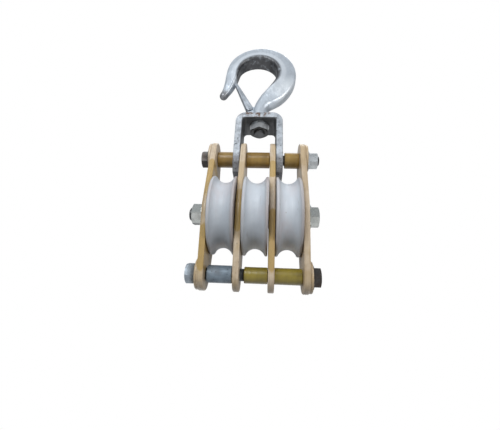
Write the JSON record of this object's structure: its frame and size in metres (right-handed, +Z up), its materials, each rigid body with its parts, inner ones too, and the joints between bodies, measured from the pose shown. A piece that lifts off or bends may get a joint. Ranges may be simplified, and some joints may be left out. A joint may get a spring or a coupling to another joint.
{
  "type": "stringing block",
  "caption": "Stringing block: grooved nylon sheaves between insulating laminate plates, hung by a strap yoke from a latched swivel hook.",
  "frame": {"origin": "the bearing point of the hook's saddle, on the swivel axis", "axes": "+Z up along the swivel axis, +X along the bolts towards the back of the hook, +Y towards the back"},
  "size_m": [0.1422, 0.085, 0.3377],
  "materials": {
    "forged_zinc": "hot-dip galvanised forging, slightly glossy",
    "strap_zinc": "hot-dip galvanised strap, rough and pitted",
    "latch_zinc": "zinc-plated sheet",
    "spring_steel": "drawn wire",
    "black_steel": "black oxide, slightly oily",
    "bright_zinc": "zinc plate, semi-bright",
    "grey_zinc": "aged zinc plate",
    "laminate": "varnished glass-epoxy laminate",
    "laminate_tube": "varnished epoxy tube",
    "pale_tube": "varnished epoxy tube",
    "nylon": "turned cast nylon",
    "bronze": "sintered bronze",
    "pipe_zinc": "spotted galvanised pipe"
  },
  "bodies": {
    "hook": {"hook": "forged_zinc", "hook_nut": "grey_zinc", "swivel_washer": "grey_zinc", "latch_pin": "latch_zinc"},
    "latch": {"latch": "latch_zinc", "latch_spring": "spring_steel"},
    "yoke": {"yoke": "strap_zinc"},
    "block": {"side_plate_left": "laminate", "side_plate_right": "laminate", "divider_plate_left": "laminate", "divider_plate_right": "laminate", "top_end_disc_left": "laminate", "top_end_disc_right": "laminate", "bottom_end_disc_left": "laminate", "bottom_end_disc_right": "laminate", "axle_nut": "bright_zinc", "axle_washer_left": "bright_zinc", "axle_washer_right": "bright_zinc", "axle_bolt": "bright_zinc", "top_bolt": "black_steel", "bottom_nut": "black_steel", "top_washer_left": "black_steel", "top_nut": "bright_zinc", "top_washer_right": "bright_zinc", "bottom_bolt": "grey_zinc", "bottom_washer": "grey_zinc"},
    "left_sheave": {"sheave_left": "nylon", "bush_left": "bronze", "thrust_washers_left": "bronze"},
    "middle_sheave": {"sheave_middle": "nylon", "bush_middle": "bronze", "thrust_washers_middle": "bronze"},
    "right_sheave": {"sheave_right": "nylon", "bush_right": "bronze", "thrust_washers_right": "bronze"},
    "left_spacer": {"top_spacer_left": "laminate_tube"},
    "middle_spacer": {"top_spacer_middle": "laminate_tube"},
    "right_spacer": {"top_spacer_right": "laminate_tube"},
    "left_sleeve": {"bottom_sleeve_left": "pipe_zinc"},
    "middle_sleeve": {"bottom_sleeve_middle": "pale_tube"},
    "right_sleeve": {"bottom_sleeve_right": "pale_tube"}
  },
  "joints": [
    {"name": "yoke_swivel", "type": "hinge", "parent": "hook", "child": "yoke", "pos_m": [0, 0, -0.103], "axis": [0, 0, 1], "continuous": true},
    {"name": "block_swing", "type": "hinge", "parent": "yoke", "child": "block", "pos_m": [0, 0, -0.161], "axis": [1, 0, 0], "range_deg": [-115, 115]},
    {"name": "latch_swing", "type": "hinge", "parent": "hook", "child": "latch", "pos_m": [-0.0136, 0, -0.0845], "axis": [0, 1, 0], "range_deg": [0, 50], "stiffness_Nm_per_rad": 0.02, "springref_deg": -28.65},
    {"name": "left_sheave_spin", "type": "hinge", "parent": "block", "child": "left_sheave", "pos_m": [-0.0336, 0, -0.232], "axis": [1, 0, 0], "continuous": true},
    {"name": "middle_sheave_spin", "type": "hinge", "parent": "block", "child": "middle_sheave", "pos_m": [0, 0, -0.232], "axis": [1, 0, 0], "continuous": true},
    {"name": "right_sheave_spin", "type": "hinge", "parent": "block", "child": "right_sheave", "pos_m": [0.0336, 0, -0.232], "axis": [1, 0, 0], "continuous": true},
    {"name": "left_spacer_turn", "type": "hinge", "parent": "block", "child": "left_spacer", "pos_m": [-0.03795, 0, -0.161], "axis": [1, 0, 0], "continuous": true},
    {"name": "middle_spacer_turn", "type": "hinge", "parent": "block", "child": "middle_spacer", "pos_m": [0, 0, -0.161], "axis": [1, 0, 0], "continuous": true},
    {"name": "right_spacer_turn", "type": "hinge", "parent": "block", "child": "right_spacer", "pos_m": [0.03905, 0, -0.161], "axis": [1, 0, 0], "continuous": true},
    {"name": "left_sleeve_turn", "type": "hinge", "parent": "block", "child": "left_sleeve", "pos_m": [-0.0336, 0, -0.295], "axis": [1, 0, 0], "continuous": true},
    {"name": "middle_sleeve_turn", "type": "hinge", "parent": "block", "child": "middle_sleeve", "pos_m": [0, 0, -0.295], "axis": [1, 0, 0], "continuous": true},
    {"name": "right_sleeve_turn", "type": "hinge", "parent": "block", "child": "right_sleeve", "pos_m": [0.0336, 0, -0.295], "axis": [1, 0, 0], "continuous": true}
  ]
}
